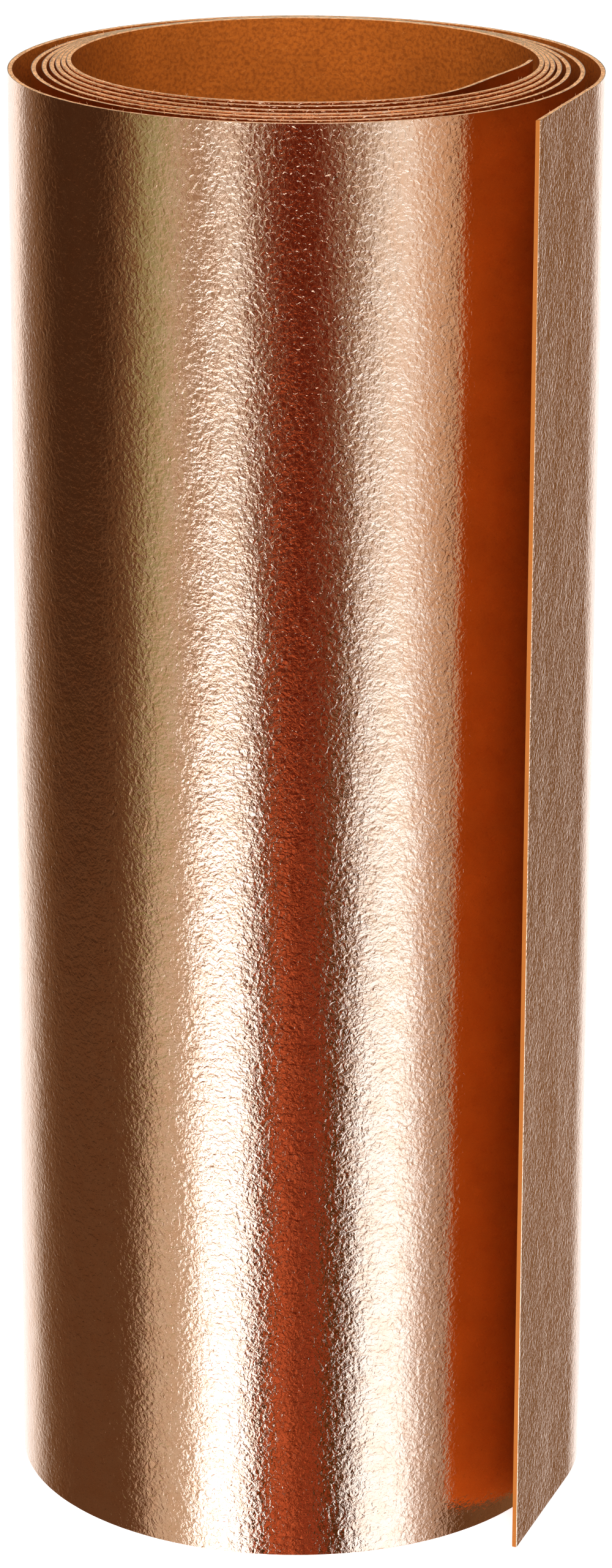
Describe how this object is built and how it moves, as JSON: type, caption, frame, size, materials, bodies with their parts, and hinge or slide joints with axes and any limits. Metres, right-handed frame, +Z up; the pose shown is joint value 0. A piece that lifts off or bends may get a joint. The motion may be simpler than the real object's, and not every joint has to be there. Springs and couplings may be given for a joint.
{
  "type": "copper foil roll",
  "caption": "Coreless roll of copper-foil-faced kraft band standing on end, with an outer free end that opens out flat and an inner free end that swings into the bore.",
  "frame": {"origin": "on the roll's axis at the surface it stands on, in the middle of its bounding box", "axes": "+Z up along the roll's axis, -Y towards the front, where the outer free end finishes at the front right"},
  "size_m": [0.0601, 0.0595, 0.151],
  "materials": {
    "copper_foil": "bright rose copper, finely crinkled",
    "bond_film": "thin translucent bond film",
    "kraft_backing": "brown kraft with a mottled fibre surface and paler cut edges"
  },
  "bodies": {
    "roll": {"copper_foil_coil": "copper_foil", "bond_film_coil": "bond_film", "kraft_backing_coil": "kraft_backing"},
    "free_end_1": {"copper_foil_free_end_1": "copper_foil", "bond_film_free_end_1": "bond_film", "kraft_backing_free_end_1": "kraft_backing"},
    "free_end_2": {"copper_foil_free_end_2": "copper_foil", "bond_film_free_end_2": "bond_film", "kraft_backing_free_end_2": "kraft_backing"},
    "free_end_3": {"copper_foil_free_end_3": "copper_foil", "bond_film_free_end_3": "bond_film", "kraft_backing_free_end_3": "kraft_backing"},
    "free_end_4": {"copper_foil_free_end_4": "copper_foil", "bond_film_free_end_4": "bond_film", "kraft_backing_free_end_4": "kraft_backing"},
    "free_end_5": {"copper_foil_free_end_5": "copper_foil", "bond_film_free_end_5": "bond_film", "kraft_backing_free_end_5": "kraft_backing"},
    "free_end_6": {"copper_foil_free_end_6": "copper_foil", "bond_film_free_end_6": "bond_film", "kraft_backing_free_end_6": "kraft_backing"},
    "inner_end": {"copper_foil_inner_end": "copper_foil", "bond_film_inner_end": "bond_film", "kraft_backing_inner_end": "kraft_backing"}
  },
  "joints": [
    {"name": "free_end_hinge_1", "type": "hinge", "parent": "roll", "child": "free_end_1", "pos_m": [-0.00473, 0.02984, 0], "axis": [0, 0, 1], "range_deg": [-0.4, 25], "stiffness_Nm_per_rad": 0.004},
    {"name": "free_end_hinge_2", "type": "hinge", "parent": "free_end_1", "child": "free_end_2", "pos_m": [0.00827, 0.02885, 0], "axis": [0, 0, 1], "range_deg": [-0.4, 24.79], "stiffness_Nm_per_rad": 0.004},
    {"name": "free_end_hinge_3", "type": "hinge", "parent": "free_end_2", "child": "free_end_3", "pos_m": [0.01956, 0.0225, 0], "axis": [0, 0, 1], "range_deg": [-0.39, 24.39], "stiffness_Nm_per_rad": 0.004},
    {"name": "free_end_hinge_4", "type": "hinge", "parent": "free_end_3", "child": "free_end_4", "pos_m": [0.02714, 0.01208, 0], "axis": [0, 0, 1], "range_deg": [-0.39, 23.96], "stiffness_Nm_per_rad": 0.004},
    {"name": "free_end_hinge_5", "type": "hinge", "parent": "free_end_4", "child": "free_end_5", "pos_m": [0.02977, -0.00052, 0], "axis": [0, 0, 1], "range_deg": [-0.39, 24.06], "stiffness_Nm_per_rad": 0.004},
    {"name": "free_end_hinge_6", "type": "hinge", "parent": "free_end_5", "child": "free_end_6", "pos_m": [0.0271, -0.01322, 0], "axis": [0, 0, 1], "range_deg": [-0.1, 6.43], "stiffness_Nm_per_rad": 0.004},
    {"name": "inner_end_hinge", "type": "hinge", "parent": "roll", "child": "inner_end", "pos_m": [0.00749, -0.02179, 0], "axis": [0, 0, 1], "range_deg": [0, 30], "stiffness_Nm_per_rad": 0.004}
  ],
  "couplings": [
    {"joint": "free_end_hinge_2", "follows": "free_end_hinge_1", "ratio": 0.991},
    {"joint": "free_end_hinge_3", "follows": "free_end_hinge_1", "ratio": 0.975},
    {"joint": "free_end_hinge_4", "follows": "free_end_hinge_1", "ratio": 0.958},
    {"joint": "free_end_hinge_5", "follows": "free_end_hinge_1", "ratio": 0.962},
    {"joint": "free_end_hinge_6", "follows": "free_end_hinge_1", "ratio": 0.257}
  ]
}
